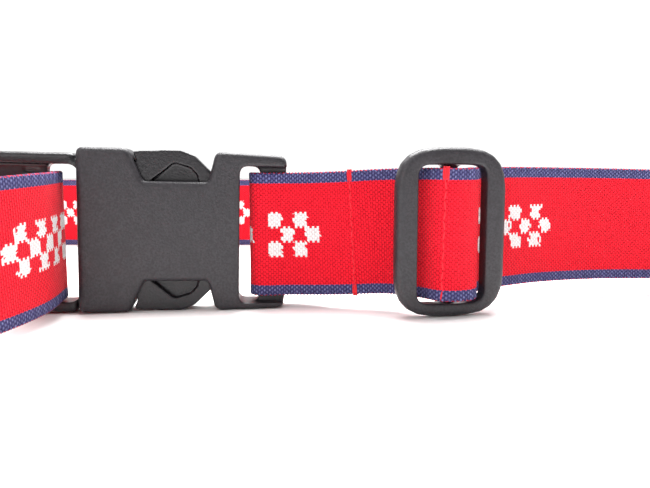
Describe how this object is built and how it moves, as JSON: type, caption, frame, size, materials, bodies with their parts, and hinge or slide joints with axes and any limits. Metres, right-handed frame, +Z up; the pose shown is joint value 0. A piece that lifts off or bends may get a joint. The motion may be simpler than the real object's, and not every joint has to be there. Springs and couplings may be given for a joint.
{
  "type": "luggage_strap",
  "caption": "Red and navy woven luggage strap closed in a loop, with a dark side-release buckle, a slide for its length and a free tail",
  "frame": {"origin": "under the middle of the whole strap's bounding box, on the surface it stands on", "axes": "+X along the front of the loop from the insert to the socket and the slide, +Y from the front of the loop to its back, +Z up across the width of the webbing"},
  "size_m": [0.52, 0.2518, 0.0504],
  "materials": {
    "dark_plastic": "moulded, fine matte texture",
    "red_webbing": "woven, navy selvedges",
    "red_thread": "sewing thread"
  },
  "bodies": {
    "socket": {"buckle_socket": "dark_plastic", "web_end_layer_by_socket": "red_webbing", "web_fold_on_socket_bar": "red_webbing", "web_outer_layer_by_socket": "red_webbing", "web_end_layer_in_slide": "red_webbing", "web_outer_layer_in_slide": "red_webbing", "web_front_right": "red_webbing", "web_right_bend": "red_webbing", "web_back_right": "red_webbing", "stitches_by_socket": "red_thread", "stitches_by_slide": "red_thread"},
    "insert": {"insert_frame": "dark_plastic", "web_fold_on_locking_bar": "red_webbing", "web_front_left": "red_webbing", "web_left_bend": "red_webbing", "web_back_left": "red_webbing", "web_tail": "red_webbing", "web_tail_hem": "red_webbing", "stitches_on_tail_hem": "red_thread"},
    "upper_arm": {"upper_release_arm": "dark_plastic"},
    "lower_arm": {"lower_release_arm": "dark_plastic"},
    "slide": {"slide_frame": "dark_plastic"}
  },
  "joints": [
    {"name": "insert_pull", "type": "slide", "parent": "socket", "child": "insert", "axis": [-0.99, -0.1391, 0.0218], "range_m": [0, 0.04], "deforming": ["upper_release_arm", "lower_release_arm"]},
    {"name": "upper_arm_press", "type": "hinge", "parent": "insert", "child": "upper_arm", "pos_m": [-0.07096, -0.05387, 0.04181], "axis": [-0.1392, 0.9903, 0], "range_deg": [0, 8], "stiffness_Nm_per_rad": 2.5},
    {"name": "lower_arm_press", "type": "hinge", "parent": "insert", "child": "lower_arm", "pos_m": [-0.07167, -0.05397, 0.00902], "axis": [0.1392, -0.9903, 0], "range_deg": [0, 8], "stiffness_Nm_per_rad": 2.5},
    {"name": "slide_shift", "type": "slide", "parent": "socket", "child": "slide", "axis": [0.9781, 0.2079, 0], "range_m": [-0.008, 0.004], "deforming": ["web_end_layer_in_slide", "web_outer_layer_in_slide", "stitches_by_slide"]}
  ]
}
